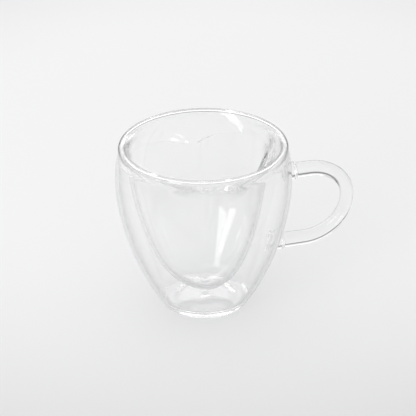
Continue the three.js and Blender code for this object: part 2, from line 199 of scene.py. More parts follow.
class MugGlassFinish(bpy.types.PropertyGroup):
    """Clear glass."""

    tint: colour("Tint", "Colour of the glass", (0.993, 0.994, 0.993))
    # The edge, rim edge and rod edge colours are painted shade: they darken the glass where a wall, the
    # lip or the rod is seen edge on, for the dark lines along its edges.
    edge: colour("Edge", "Colour of a wall seen edge on", (0.2, 0.204, 0.204))
    edge_start: factor("Edge start", "How far a wall turns away before that colour begins", 0.45)
    edge_law: factor("Edge law", "Power by which it comes in", 2.0)
    rim_edge_shade: colour("Rim edge", "Colour of the lip seen edge on", (0.03, 0.031, 0.031))
    rim_start: factor("Rim start", "How far the lip turns away before that colour begins", 0.3)
    rim_law: factor("Rim law", "Power by which it comes in", 1.0)
    rod_edge_shade: colour("Rod edge", "Colour of the rod seen edge on", (0.1, 0.102, 0.102))
    rod_start: factor("Rod start", "How far the rod turns away before that colour begins", 0.35)
    rod_law: factor("Rod law", "Power by which it comes in", 1.5)
    ior: factor("Index", "Refractive index", 1.47)
    wall_wave: length("Wall waves", "Height of the slow waves in the blown walls", 0.0015)
    wall_scale: factor("Wall wave scale", "Noise scale of those waves", 45.0)
    rod_wave: length("Rod waves", "Height of the waves in the drawn rod", 0.012)
    rod_scale: factor("Rod wave scale", "Noise scale of those waves", 90.0)
    shade: colour("Shade", "Light that one surface lets through to the table", (0.945, 0.946, 0.947))


class MugStageSettings(bpy.types.PropertyGroup):
    """Camera, table and studio light."""

    azimuth: angle("Azimuth", "Turn of the camera about the mug", -15)
    elevation: angle("Elevation", "Height of the camera above the table", 28.3)
    distance: length("Distance", "Camera to the middle of the mug", 1275)
    target_height: length("Target height", "Point on the mug's axis that the camera looks at", 44.1)
    lens: factor("Lens", "Focal length in millimetres on a 36 mm sensor", 215.3)
    shift_x: factor("Shift X", "Sideways shift of the picture", 0.0091)
    shift_y: factor("Shift Y", "Upward shift of the picture", 0.0342)
    roll: angle("Roll", "Tilt of the camera", -0.755)
    table: colour("Table", "Colour of the table", (0.88, 0.88, 0.885))
    # Pool, pool radius, sheet and ground paint a pool of light on the table beyond the mug, and painted
    # shade that darkens the table away from there.
    pool: length("Pool", "Middle of the bright part of the table, beyond the mug", 180)
    pool_radius: length("Pool radius", "Distance from there where the table begins to darken", 150)
    sheet: length("Sheet", "Distance from there where the table is darkest", 640)
    ground: colour("Ground", "Colour of the table far from the mug", (0.35, 0.35, 0.355))
    ceiling: factor("Ceiling", "Brightness of the studio overhead", 0.83)
    skirting: factor("Skirting", "Brightness of the far side at table height", 0.08)
    skirting_rise: angle("Skirting rise", "Height above the table where the studio is fully bright", 10)
    skirting_turn: factor("Skirting turn", "Cosine of the turn where the far side is darkest", 0.8)


def smoothstep(value, low, high):
    """Three t squared less two t cubed, where t runs from 0 at low to 1 at high."""
    t = np.clip((value - low) / (high - low), 0.0, 1.0)
    return t * t * (3.0 - 2.0 * t)


def bezier(points, count):
    """Control points weighted by the binomial terms of 1 - t and t, for t from 0 to 1."""
    control = np.asarray(points, dtype=float)
    order = len(control) - 1
    t = np.linspace(0.0, 1.0, count).reshape(-1, *[1] * (control.ndim - 1))
    weights = [math.comb(order, k) * (1 - t) ** (order - k) * t ** k for k in range(order + 1)]
    return sum(weight * point for weight, point in zip(weights, control))


def column_turns():
    """Turn of each column round the mug, from the front."""
    return np.linspace(0.0, TAU, COLUMNS, endpoint=False) - math.pi / 2


def turned(profile):
    """Each (radius, height) point turned about the axis: radius times cosine and sine, and height."""
    turn = column_turns()
    radius = profile[:, :1]
    height = profile[:, 1:] + 0.0 * turn
    return np.stack([radius * np.cos(turn), radius * np.sin(turn), height], axis=-1)


def circle(radius, height):
    """One ring of a turned profile."""
    return turned(np.array([[radius, height]]))[0]


class MugShape:
    """The mug's sizes, those that follow from them, and its curves, all about the mug's own axis."""

    def __init__(self, scene):
        self.wall = scene.mug_wall
        self.cup = scene.mug_cup
        self.handle = scene.mug_handle
        wall, cup, handle = self.wall, self.cup, self.handle
        self.belly_radius = wall.lip_radius + wall.belly_bulge
        self.belly_height = wall.height - wall.belly_drop
        self.seam_height = wall.height - cup.lip_depth
        self.rim_wall = (cup.lip_thickness - cup.lip_air) / 2
        self.roof_radius = wall.lip_radius - self.rim_wall - cup.lip_air
        self.neck_radius = wall.lip_radius - cup.neck
        self.mouth_radius = wall.lip_radius - cup.lip_thickness
        self.bead_radius = cup.lip_thickness / 2
        self.bead_height = wall.height - self.bead_radius
        self.cavity_floor = wall.punt_depth + wall.base_thickness
        self.cup_floor = self.cavity_floor + cup.floor_gap + wall.thickness
        self.cup_depth = wall.height - cup.bowl_drop - self.cup_floor
        self.handle_x = self.belly_radius + handle.reach
        self.upper_bar = wall.height - handle.drop
        self.lower_bar = self.upper_bar - handle.span
        self.rod_end = handle.rod_radius + handle.rod_swell
        self.pad_radius = self.rod_end + handle.pad_flange
        self.axis_x = -(self.handle_x + handle.rod_radius - self.belly_radius) / 2
        self.outside = self.wall_profile()

    def wall_profile(self):
        """Outside of the wall: one cubic from the foot up to the belly and one on up to the lip."""
        wall = self.wall
        foot = np.array([wall.foot_radius, wall.foot_edge])
        pull = wall.heel_fullness * np.array([math.cos(wall.heel_angle), math.sin(wall.heel_angle)])
        belly = (self.belly_radius, self.belly_height)
        flank = bezier([foot, foot + pull, (belly[0], belly[1] - wall.belly_fullness), belly], 56)
        neck = bezier([
            belly,
            (belly[0], belly[1] + wall.neck_fullness),
            (wall.lip_radius, self.seam_height - wall.lip_fullness),
            (wall.lip_radius, self.seam_height),
        ], 16)
        return np.concatenate([flank, neck[1:]])

    def wall_radius(self, height):
        """Radius of the outside of the wall at a height."""
        return np.interp(height, self.outside[:, 1], self.outside[:, 0])

    def glass_thickness(self, height):
        """Thickness of the outer wall: it eases to that of the lip's wall from below up to the seam."""
        ease = smoothstep(self.seam_height - height, 0, self.cup.rim_taper)
        return self.rim_wall + (self.wall.thickness - self.rim_wall) * ease

    def wall_x(self, across, height):
        """How far out the wall stands in front of a point beside the handle's plane."""
        return np.sqrt(self.wall_radius(height) ** 2 - across ** 2)

    def heart_radii(self, turn, softness):
        """Distance from the axis to the heart at each turn: a tip circle, a bowed side, a lobe and
        a cleft circle, each tangent to the next, taken in polar form, mirrored and eased by a bell
        curve round the mug."""
        cup = self.cup
        side = self.neck_radius - cup.side_inset
        back = self.neck_radius - cup.back_inset
        spread = side + cup.cleft_radius
        cleft_span = math.sqrt(2 * spread * cup.cleft_depth)
        lobe_radius = spread + cup.cleft_depth - cleft_span - cup.cleft_radius
        lobe = np.array([side - lobe_radius, back - lobe_radius])
        cleft = np.array([0.0, back - cup.cleft_depth + cup.cleft_radius])
        tip = np.array([0.0, cup.tip_radius + cup.tip_inset - self.neck_radius])
        apart = np.linalg.norm(lobe - tip)
        along = (lobe - tip) / apart
        from_tip = cup.side_radius - cup.tip_radius
        from_lobe = cup.side_radius - lobe_radius
        foot = (from_tip ** 2 - from_lobe ** 2 + apart ** 2) / (2 * apart)
        aside = math.sqrt(from_tip ** 2 - foot ** 2)
        bow = tip + along * foot + np.array([-along[1], along[0]]) * aside
        tip_turn = math.atan2(tip[1] - bow[1], tip[0] - bow[0])
        lobe_turn = math.atan2(lobe[1] - bow[1], lobe[0] - bow[0])
        join = math.atan2(cleft[1] - lobe[1], -lobe[0])
        arcs = [
            (tip, cup.tip_radius, -math.pi / 2, tip_turn),
            (bow, cup.side_radius, tip_turn, lobe_turn),
            (lobe, lobe_radius, lobe_turn, join),
            (cleft, cup.cleft_radius, join - math.pi, -math.pi / 2),
        ]
        points = np.concatenate([
            centre + radius * np.stack([np.cos(t), np.sin(t)], axis=1)
            for centre, radius, start, end in arcs
            for t in [np.linspace(start, end, ARC_POINTS)]
        ])
        half_turn = np.arctan2(points[:, 1], points[:, 0])
        order = np.argsort(half_turn)
        even = np.linspace(0.0, TAU, HEART_POINTS, endpoint=False)
        folded = np.arcsin(np.sin(even))
        radii = np.interp(folded, half_turn[order], np.hypot(*points.T)[order])
        waves = np.fft.rfftfreq(HEART_POINTS, 1.0 / HEART_POINTS)
        bell = np.exp(-0.5 * (waves * softness) ** 2)
        eased = np.fft.irfft(np.fft.rfft(radii) * bell, HEART_POINTS)
        return np.interp(turn % TAU, even, eased, period=TAU)

    def ring_mark(self, radius):
        """Depth of the mark in the middle of the floor: a bell curve of the fourth power."""
        return self.cup.pip_depth * np.exp(-((radius / self.cup.pip_radius) ** 4))

    def cup_section(self, share):
        """Inside of the bowl, 0 at the floor to 1 at the mouth: the heart's polar radius, crisp at the
        top and eased further down, drawn in by a superellipse and made rounder towards the floor, with
        a shallow ring mark in the middle of the floor."""
        cup = self.cup
        turn = column_turns()
        rise = 1.0 - np.cos(share * math.pi / 2) ** (2.0 / cup.flare)
        spread = np.sin(share * math.pi / 2) ** (2.0 / cup.fullness)
        above = rise * self.cup_depth
        eased = self.heart_radii(turn, cup.deep_softness)
        crisp = self.heart_radii(turn, cup.softness)
        heart = eased + (crisp - eased) * smoothstep(above, cup.crease_low, cup.crease_high)
        kept = cup.floor_heart + (1 - cup.floor_heart) * smoothstep(above, 0, cup.heart_height)
        radius = spread * (crisp.mean() + (heart - crisp.mean()) * kept)
        height = self.cup_floor + above - self.ring_mark(radius)
        return np.stack([radius * np.cos(turn), radius * np.sin(turn), height], axis=-1)

    def cup_inside(self):
        """Inside of the cup from the floor up: the bowl, then a cubic in each column that leaves the
        heart along its wall, bends over the shoulder, deeper in front, and rises into the mouth."""
        cup = self.cup
        turn = column_turns()
        added = (cup.shoulder_front - cup.shoulder) * smoothstep(-np.sin(turn), 0, 1)
        depth = cup.shoulder + added
        step = np.linspace(0.0, 1.0, BOWL_RINGS + 1)[1:, None] ** BOWL_SPACING
        bowl = self.cup_section(step * self.share_below(depth))
        edge = bowl[-1]
        rising = (edge - bowl[-2]) / (edge - bowl[-2])[:, 2:]
        mouth = circle(self.mouth_radius, self.bead_height)
        width = self.mouth_radius - np.hypot(edge[:, 0], edge[:, 1])[:, None]
        bend = edge + rising * (width * cup.ledge_pull + added[:, None] * cup.front_pull)
        brow = mouth + (bend - mouth) / 3 - width * (0.0, 0.0, cup.mouth_pull)
        shoulder = bezier([edge, bend, brow, mouth], SHOULDER_RINGS + 1)[1:]
        return np.concatenate([bowl, shoulder])

    def share_below(self, depth):
        """Share of the cup's curve at a depth below the middle of the lip: the superellipse undone."""
        return 2 / math.pi * np.arccos((depth / self.cup_depth) ** (self.cup.flare / 2))

    def cup_outside(self, inside):
        """Outside of the cup's wall: the inside moved out, each point in its own upright plane, until
        it lies one glass thickness off. The ring mark is left out."""
        across = np.roll(inside, -1, axis=1) - np.roll(inside, 1, axis=1)
        up = np.gradient(inside, axis=0)
        normal = np.cross(across, up)
        normal /= np.linalg.norm(normal, axis=-1, keepdims=True)
        radial = inside * (1, 1, 0)
        radial /= np.linalg.norm(radial, axis=-1, keepdims=True)
        outward = (normal * radial).sum(axis=-1, keepdims=True)
        plane = radial * outward + normal * (0, 0, 1)
        room = np.maximum((plane ** 2).sum(axis=-1, keepdims=True), LEAST_SHARE)
        outside = inside + plane * self.wall.thickness / room
        outside[..., 2] += self.ring_mark(np.hypot(outside[..., 0], outside[..., 1]))
        return outside

    def handle_path(self, count):
        """Middle line of the rod: straight off the upper pad, a quarter ellipse out to the elbow, one
        back to the lower bar and straight to the lower pad, spaced evenly along its length."""
        handle = self.handle
        quarter = 4.0 / 3.0 * (math.sqrt(2.0) - 1.0)
        upper_start = float(self.wall_radius(self.upper_bar)) + handle.upper_pad
        lower_start = float(self.wall_radius(self.lower_bar)) + handle.lower_pad
        upper_end = upper_start + handle.upper_straight
        lower_end = lower_start + handle.lower_straight
        elbow = self.upper_bar - handle.elbow_drop
        out = self.handle_x
        line = np.concatenate([
            bezier([(upper_start, self.upper_bar), (upper_end, self.upper_bar)], 100),
            bezier([
                (upper_end, self.upper_bar),
                (upper_end + (out - upper_end) * quarter, self.upper_bar),
                (out, elbow + (self.upper_bar - elbow) * quarter),
                (out, elbow),
            ], 300)[1:],
            bezier([
                (out, elbow),
                (out, elbow + (self.lower_bar - elbow) * quarter),
                (lower_end + (out - lower_end) * quarter, self.lower_bar),
                (lower_end, self.lower_bar),
            ], 300)[1:],
            bezier([(lower_end, self.lower_bar), (lower_start, self.lower_bar)], 100)[1:],
        ])
        steps = np.concatenate([[0.0], np.cumsum(np.linalg.norm(np.diff(line, axis=0), axis=1))])
        even = np.linspace(0.0, steps[-1], count)
        return np.stack([np.interp(even, steps, line[:, k]) for k in range(2)], axis=1), steps[-1]


def piece_from_grid(name, grid, centre_x, poles=None, hidden=(), rim=()):
    """A closed mesh over a grid of rings and columns. The columns wrap, and the rings either wrap too
    or are drawn to a pole at either end. Rings in hidden start a band inside fused glass, and rings
    in rim start one on the lip."""
    rings, columns = grid.shape[:2]
    low = np.arange(rings if poles is None else rings - 1)
    ring, column = np.meshgrid(low, np.arange(columns), indexing="ij")
    above = (ring + 1) % rings
    after = (column + 1) % columns
    quads = np.stack([
        ring * columns + column, ring * columns + after,
        above * columns + after, above * columns + column,
    ], axis=-1).reshape(-1, 4)
    vertices = grid.reshape(-1, 3)
    fans = np.empty((0, 3), dtype=int)
    rows = ring.ravel()
    slots = np.isin(rows, list(hidden)) + 2 * np.isin(rows, list(rim)).astype(np.int32)
    if poles is not None:
        vertices = np.concatenate([vertices, np.asarray(poles, dtype=float)])
        first, last = rings * columns, rings * columns + 1
        start = np.arange(columns)
        following = (start + 1) % columns
        top = (rings - 1) * columns
        fans = np.concatenate([
            np.stack([following, start, np.full(columns, first)], axis=1),
            np.stack([top + start, top + following, np.full(columns, last)], axis=1),
        ])
        ends = np.array([-1 in hidden, rings - 1 in hidden], dtype=np.int32)
        slots = np.concatenate([slots, np.repeat(ends, columns)])
    corners = vertices[quads]
    turning = np.cross(corners[:, 2] - corners[:, 0], corners[:, 3] - corners[:, 1])
    volume = (corners.mean(axis=1) * turning).sum()
    if volume < 0:
        quads, fans = quads[:, ::-1], fans[:, ::-1]
    faces = quads.tolist() + fans.tolist()
    mesh = bpy.data.meshes.new(name)
    mesh.from_pydata((vertices + (centre_x, 0.0, 0.0)).tolist(), [], faces)
    if mesh.validate():
        raise RuntimeError(f"{name} has faulty faces")
    mesh.shade_smooth()
    mesh.set_sharp_from_angle(angle=SHARP_EDGE)
    mesh.polygons.foreach_set("material_index", slots)
    piece = bpy.data.objects.new(name, mesh)
    bpy.context.scene.collection.objects.link(piece)
    return piece


def fit_piece(piece, node, *materials):
    """Puts the materials on a piece and lets it stand for its node on the mug's one body."""
    for material in materials:
        piece.data.materials.append(material)
    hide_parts(node)
    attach(piece, "root")


def add_node(tree, kind, inputs=None, **settings):
    """A shader node with its settings, and with values for its inputs by name or number."""
    made = tree.nodes.new(kind)
    for name, value in settings.items():
        setattr(made, name, value)
    for name, value in (inputs or {}).items():
        made.inputs[name].default_value = value
    return made


def wire(tree, *links):
    """Links, each given as a node, its output, the next node and its input."""
    for source, output, target, entry in links:
        tree.links.new(source.outputs[output], target.inputs[entry])


def glass_waves():
    """Shader group: height of the slow unevenness of hand-worked glass, from two sizes of noise on
    the object's own coordinates, the larger one three times as high as the finer."""
    group = bpy.data.node_groups.get("Glass waves")
    if group is not None:
        return group
    group = bpy.data.node_groups.new("Glass waves", "ShaderNodeTree")
    sockets = group.interface
    size = sockets.new_socket("Wave size", in_out="INPUT", socket_type="NodeSocketFloat")
    size.default_value = 60.0
    stretch = sockets.new_socket("Stretch", in_out="INPUT", socket_type="NodeSocketVector")
    stretch.default_value = (1.0, 1.0, 1.0)
    sockets.new_socket("Height", in_out="OUTPUT", socket_type="NodeSocketFloat")
    start = add_node(group, "NodeGroupInput")
    end = add_node(group, "NodeGroupOutput")
    place = add_node(group, "ShaderNodeTexCoord")
    stretched = add_node(group, "ShaderNodeVectorMath", operation="MULTIPLY")
    slow = add_node(group, "ShaderNodeTexNoise", {"Detail": 0.0}, noise_dimensions="3D")
    fine = add_node(group, "ShaderNodeTexNoise", {"Detail": 0.0}, noise_dimensions="3D")
    finer = add_node(group, "ShaderNodeMath", {1: 2.7}, operation="MULTIPLY")
    blend = add_node(group, "ShaderNodeMix", {"Factor": 0.25}, data_type="FLOAT")
    wire(
        group,
        (place, "Object", stretched, 0),
        (start, "Stretch", stretched, 1),
        (start, "Wave size", slow, "Scale"),
        (start, "Wave size", finer, 0),
        (finer, 0, fine, "Scale"),
        (stretched, 0, slow, "Vector"),
        (stretched, 0, fine, "Vector"),
        (slow, 0, blend, "A"),
        (fine, 0, blend, "B"),
        (blend, 0, end, "Height"),
    )
    return group


def clear_glass(name, wave, wave_size, stretch, edge, start, law):
    """Clear glass with slow waves in its surface, and painted shade that darkens it where it is seen
    edge on. It lets the lamps through to the table, a little dimmer after each surface."""
    material = bpy.data.materials.get(name)
    if material is not None:
        return material
    finish = bpy.context.scene.mug_glass
    material = bpy.data.materials.new(name)
    material.use_nodes = True
    tree = material.node_tree
    tree.nodes.clear()
    output = add_node(tree, "ShaderNodeOutputMaterial")
    glass = add_node(tree, "ShaderNodeBsdfPrincipled", {
        "Roughness": 0.0,
        "Metallic": 0.0,
        "Transmission Weight": 1.0,
        "IOR": finish.ior,
    })
    turned_away = add_node(tree, "ShaderNodeLayerWeight", {"Blend": 0.5})
    share = add_node(tree, "ShaderNodeMapRange", {"From Min": start, "From Max": 1.0})
    eased = add_node(tree, "ShaderNodeMath", {1: law}, operation="POWER")
    # Painted shade: the glass colour turns to the edge colour where the surface is seen edge on.
    colours = {"A": (*finish.tint, 1.0), "B": (*edge, 1.0)}
    body = add_node(tree, "ShaderNodeMix", colours, data_type="RGBA")
    sizes = {"Wave size": wave_size, "Stretch": stretch}
    waves = add_node(tree, "ShaderNodeGroup", sizes, node_tree=glass_waves())
    bump = add_node(tree, "ShaderNodeBump", {"Strength": 1.0, "Distance": wave})
    light = add_node(tree, "ShaderNodeLightPath")
    through = add_node(tree, "ShaderNodeBsdfTransparent", {"Color": (*finish.shade, 1.0)})
    by_lamp = add_node(tree, "ShaderNodeMixShader")
    by_table = add_node(tree, "ShaderNodeMixShader")
    wire(
        tree,
        (turned_away, "Facing", share, "Value"),
        (share, "Result", eased, 0),
        (eased, 0, body, "Factor"),
        (body, "Result", glass, "Base Color"),
        (waves, "Height", bump, "Height"),
        (bump, "Normal", glass, "Normal"),
        (light, "Is Shadow Ray", by_lamp, 0),
        (glass, "BSDF", by_lamp, 1),
        (through, "BSDF", by_lamp, 2),
        (light, "Is Diffuse Ray", by_table, 0),
        (by_lamp, "Shader", by_table, 1),
        (through, "BSDF", by_table, 2),
        (by_table, "Shader", output, "Surface"),
    )
    return material


def wall_glass():
    """Blown glass of the two walls, with painted shade where they are seen edge on."""
    finish = bpy.context.scene.mug_glass
    return clear_glass(
        "blown_glass", finish.wall_wave, finish.wall_scale, WALL_STRETCH,
        finish.edge, finish.edge_start, finish.edge_law,
    )


def rim_glass():
    """Glass of the lip, fire-polished smooth, with strong painted shade where it is seen edge on."""
    finish = bpy.context.scene.mug_glass
    return clear_glass(
        "rim_glass", 0.0, finish.wall_scale, WALL_STRETCH,
        finish.rim_edge_shade, finish.rim_start, finish.rim_law,
    )


def rod_glass():
    """Drawn glass of the rod and its pads, with waves drawn out along the bars and painted shade where
    it is seen edge on.
    """
    finish = bpy.context.scene.mug_glass
    return clear_glass(
        "drawn_glass", finish.rod_wave, finish.rod_scale, ROD_STRETCH,
        finish.rod_edge_shade, finish.rod_start, finish.rod_law,
    )


def fused_seam():
    """Face inside fused glass, where two pieces are one and nothing shows."""
    material = bpy.data.materials.get("fused_seam")
    if material is None:
        material = bpy.data.materials.new("fused_seam")
        material.use_nodes = True
        inside = material.node_tree.nodes["Principled BSDF"]
        inside.inputs["Base Color"].default_value = (1.0, 1.0, 1.0, 1.0)
        inside.inputs["Alpha"].default_value = 0.0
    return material


class MUG_OT_outer_shell(bpy.types.Operator):
    """Builds the blown outer wall with its base"""

    bl_idname = "mug.outer_shell"
    bl_label = "Outer shell"

    def execute(self, context):
        """One closed profile turned about the axis: under the base from the vent to the foot, up the
        outside, over the seam, down the inside one glass thickness in, and back to the vent."""
        shape = MugShape(context.scene)
        wall = shape.wall
        outside = shape.outside
        ring_radius = wall.foot_radius - wall.foot_edge
        punt_radius = ring_radius - wall.foot_ring
        seal_head = (wall.vent_radius + wall.seal_flange, wall.punt_depth)
        under = bezier([seal_head, (punt_radius - wall.punt_ease, wall.punt_depth)], 6)
        punt = bezier([
            (punt_radius - wall.punt_ease, wall.punt_depth),
            (punt_radius - wall.punt_ease / 2, wall.punt_depth),
            (punt_radius - wall.punt_ease / 4, 0.0),
            (punt_radius, 0.0),
        ], 14)
        ring = bezier([(punt_radius, 0.0), (ring_radius, 0.0)], 4)
        edge = bezier([
            (ring_radius, 0.0), (wall.foot_radius - wall.foot_edge / 3, 0.0), outside[0],
        ], 8)
        along = np.gradient(outside, axis=0)
        along /= np.linalg.norm(along, axis=1, keepdims=True)
        glass = shape.glass_thickness(outside[:, 1:])
        inside = outside + glass * np.stack([-along[:, 1], along[:, 0]], axis=1)
        corner_top = shape.cavity_floor + 2 * wall.floor_fillet
        inside = inside[inside[:, 1] > corner_top + wall.foot_edge][::-1]
        slope = inside[-1] - inside[-2]
        slope /= np.linalg.norm(slope)
        corner = inside[-1] + slope * (inside[-1, 1] - shape.cavity_floor) / -slope[1]
        floor_start = (corner[0] - 3 * wall.floor_fillet, shape.cavity_floor)
        fillet = bezier([inside[-1], corner, floor_start], 14)
        floor = bezier([floor_start, (wall.vent_radius, shape.cavity_floor)], 8)
        bore = bezier([floor[-1], (wall.vent_radius, wall.punt_depth)], 4)
        outer = np.concatenate([under, punt[1:], ring[1:], edge[1:], outside[1:]])
        profile = np.concatenate([outer, inside, fillet[1:], floor[1:], bore[1:]])
        seam = len(outer) - 1
        fused = [seam, *range(len(profile) - len(bore), len(profile))]
        piece = piece_from_grid("outer_shell_glass", turned(profile), shape.axis_x, hidden=fused)
        fit_piece(piece, "outer_shell", wall_glass(), fused_seam())
        return {"FINISHED"}


class MUG_OT_inner_liner(bpy.types.Operator):
    """Builds the heart-shaped inner cup with the rolled lip"""

    bl_idname = "mug.inner_liner"
    bl_label = "Inner cup and lip"

    def execute(self, context):
        """A stack of rings: up the outside of the cup, a cubic in each column to the air in the lip,
        a half circle over that air, the seam, the lip's half circle and down the inside."""
        shape = MugShape(context.scene)
        wall, cup = shape.wall, shape.cup
        inside = shape.cup_inside()
        outside = shape.cup_outside(inside)[:-ROOF_RINGS]
        roof = circle(shape.roof_radius, shape.seam_height)
        start, before = outside[-1], outside[-2]
        reach = np.linalg.norm(roof - start, axis=-1, keepdims=True)
        rising = start - before
        rising /= np.linalg.norm(rising, axis=-1, keepdims=True)
        lean = inside[-1] - inside[-1 - SLOPE_RINGS]
        lean /= np.linalg.norm(lean, axis=-1, keepdims=True)
        shoulder = bezier([start, start + rising * reach / 3, roof - lean * reach / 3, roof], 11)[1:]
        arch_turn = np.linspace(math.pi, 0.0, 15)[1:]
        arch_radius = cup.lip_air / 2
        arch = turned(np.stack([
            shape.roof_radius + arch_radius + arch_radius * np.cos(arch_turn),
            shape.seam_height + arch_radius * np.sin(arch_turn),
        ], axis=1))
        side = turned(bezier([
            (wall.lip_radius, shape.seam_height), (wall.lip_radius, shape.bead_height),
        ], 3))
        bead_turn = np.linspace(0.0, math.pi, 21)[1:]
        bead = turned(np.stack([
            shape.mouth_radius + shape.bead_radius * (1 + np.cos(bead_turn)),
            shape.bead_height + shape.bead_radius * np.sin(bead_turn),
        ], axis=1))
        grid = np.concatenate([outside, shoulder, arch, side, bead, inside[-2::-1]])
        seam = len(outside) + len(shoulder) + len(arch) - 1
        poles = [
            (0.0, 0.0, shape.cup_floor - wall.thickness),
            (0.0, 0.0, shape.cup_floor - cup.pip_depth),
        ]
        lip = range(seam + 1, seam + len(side) + len(bead))
        piece = piece_from_grid("inner_liner_glass", grid, shape.axis_x, poles, [seam], lip)
        fit_piece(piece, "inner_liner", wall_glass(), fused_seam(), rim_glass())
        return {"FINISHED"}


class MUG_OT_vent_seal(bpy.types.Operator):
    """Builds the drop of glass that plugs the vent"""

    bl_idname = "mug.vent_seal"
    bl_label = "Vent plug"

    def execute(self, context):
        """A head that falls off by a smooth step, a stem fused into the base and a low elliptical
        crown, turned about the axis."""
        shape = MugShape(context.scene)
        wall = shape.wall
        stem = wall.vent_radius
        head = stem + wall.seal_flange
        head_top = wall.punt_depth
        crown_base = shape.cavity_floor
        turn = np.linspace(0.0, math.pi / 2, 13)[1:-1]
        out = np.linspace(0.0, head, 16)[1:]
        drop = (head_top - wall.seal_standoff) * smoothstep(out, 0, head)
        button = np.stack([out, wall.seal_standoff + drop], axis=1)
        shank = bezier([(stem, head_top), (stem, crown_base)], 4)
        crown = np.stack([stem * np.cos(turn), crown_base + wall.seal_crown * np.sin(turn)], axis=1)
        first = len(button) - 1
        fused = range(first, first + len(shank))
        poles = [(0.0, 0.0, wall.seal_standoff), (0.0, 0.0, crown_base + wall.seal_crown)]
        grid = turned(np.concatenate([button, shank, crown]))
        piece = piece_from_grid("vent_seal_glass", grid, shape.axis_x, poles, fused)
        fit_piece(piece, "vent_seal", wall_glass(), fused_seam())
        return {"FINISHED"}


class MUG_OT_handle(bpy.types.Operator):
    """Builds the rod of the handle"""

    bl_idname = "mug.handle"
    bl_label = "Handle rod"

    def execute(self, context):
        """A circle carried along the middle line, thinnest at the elbow, its two ends eased by a
        quarter circle to the necks of the welds."""
        shape = MugShape(context.scene)
        handle = shape.handle
        path, total = shape.handle_path(ROD_RINGS)
        even = np.linspace(0.0, 1.0, ROD_RINGS)
        ease = handle.weld_neck
        near = ease * (1 - np.cos(np.linspace(0.0, math.pi / 2, 9))) / total
        between = even[(even > near[-1]) & (even < 1 - near[-1])]
        share = np.concatenate([near[:-1], between, (1 - near[:-1])[::-1]])
        middle = np.stack([np.interp(share, even, path[:, k]) for k in range(2)], axis=1)
        slope = np.gradient(path, axis=0)
        slope = np.stack([np.interp(share, even, slope[:, k]) for k in range(2)], axis=1)
        slope /= np.linalg.norm(slope, axis=1, keepdims=True)
        radius = handle.rod_radius + handle.rod_swell * np.cos(math.pi * share) ** 2
        end = np.minimum(share, 1 - share) * total
        inset = ease - np.minimum(end, ease)
        radius = radius - ease + np.sqrt(np.maximum(ease ** 2 - inset ** 2, 0.0))
        turn = np.linspace(0.0, TAU, ROD_COLUMNS, endpoint=False)
        lift = radius[:, None] * np.cos(turn)
        grid = np.stack([
            middle[:, :1] - slope[:, 1:] * lift,
            radius[:, None] * np.sin(turn),
            middle[:, 1:] + slope[:, :1] * lift,
        ], axis=-1)
        poles = [(*middle[0, :1], 0.0, *middle[0, 1:]), (*middle[-1, :1], 0.0, *middle[-1, 1:])]
        piece = piece_from_grid("handle_glass", grid, shape.axis_x, poles, [-1, len(grid) - 1])
        fit_piece(piece, "handle", rod_glass(), fused_seam())
        return {"FINISHED"}


class MUG_OT_weld_pads(bpy.types.Operator):
    """Builds the two pads that weld the rod to the wall"""

    bl_idname = "mug.weld_pads"
    bl_label = "Weld pads"

    def execute(self, context):
        """Rings about the rod's line: out over the wall, up a side that spreads by a cubic law
        towards the wall, round a quarter circle and in over the flat face."""
        shape = MugShape(context.scene)
        handle = shape.handle
        turn = np.linspace(0.0, TAU, ROD_COLUMNS, endpoint=False)
        neck = shape.rod_end - handle.weld_neck
        ease = shape.pad_radius - neck
        for name, bar, pad in (
            ("handle_upper_pad", shape.upper_bar, handle.upper_pad),
            ("handle_lower_pad", shape.lower_bar, handle.lower_pad),
        ):
            face = float(shape.wall_radius(bar)) + pad
            foot = shape.pad_radius + handle.pad_flare
            cap = foot * np.linspace(0.0, 1.0, 10)[1:]
            up = np.linspace(0.0, 1.0, 20)[1:]
            side = shape.pad_radius + handle.pad_flare * (1 - up) ** 3
            bend = np.linspace(0.0, math.pi / 2, 10)[1:]
            rim = neck + ease * np.cos(bend)
            flat = neck * np.linspace(1.0, 0.0, 6)[1:-1]
            radius = np.concatenate([cap, side, rim, flat])[:, None]
            across = radius * np.sin(turn)
            height = bar + radius * np.cos(turn)
            contact = shape.wall_x(across, height) + handle.weld_gap
            lift = np.concatenate([0 * cap, up, np.ones(len(rim) + len(flat))])[:, None]
            raised = np.concatenate([0 * cap, 0 * up, ease * np.sin(bend), ease + 0 * flat])[:, None]
            out = contact * (1 - lift) + (face - ease) * lift + raised
            grid = np.stack([out, across, height], axis=-1)
            first = float(shape.wall_x(0.0, bar)) + handle.weld_gap
            poles = [(first, 0.0, bar), (face, 0.0, bar)]
            hidden = list(range(len(cap) + len(side) + len(rim) - 1, len(grid)))
            piece = piece_from_grid(name + "_glass", grid, shape.axis_x, poles, hidden)
            fit_piece(piece, name, rod_glass(), fused_seam())
        return {"FINISHED"}


def soft_lamp(settings, shape, name, turn, rise, size, power):
    """A soft lamp that faces the mug. Turn counts in degrees to the right from straight behind the
    mug, as the camera sees it, and rise counts up from the table."""
    lamp = bpy.data.lights.new(name, "AREA")
    lamp.shape = "RECTANGLE"
    lamp.size, lamp.size_y = size
    lamp.energy = power
    piece = bpy.data.objects.new(name, lamp)
    around = math.radians(turn) - settings.azimuth
    level, up = math.cos(math.radians(rise)), math.sin(math.radians(rise))
    towards = Vector((level * math.sin(around), level * math.cos(around), up))
    place = Vector((shape.axis_x, 0.0, settings.target_height)) + towards * LAMP_DISTANCE
    facing = towards.to_track_quat("Z", "Y").to_matrix().to_4x4()
    piece.matrix_world = Matrix.Translation(place) @ facing
    piece.visible_camera = False
    bpy.context.scene.collection.objects.link(piece)


def straight_beyond(settings):
    """Level direction from the camera's side of the mug to the far side."""
    return Vector((-math.sin(settings.azimuth), math.cos(settings.azimuth), 0.0))


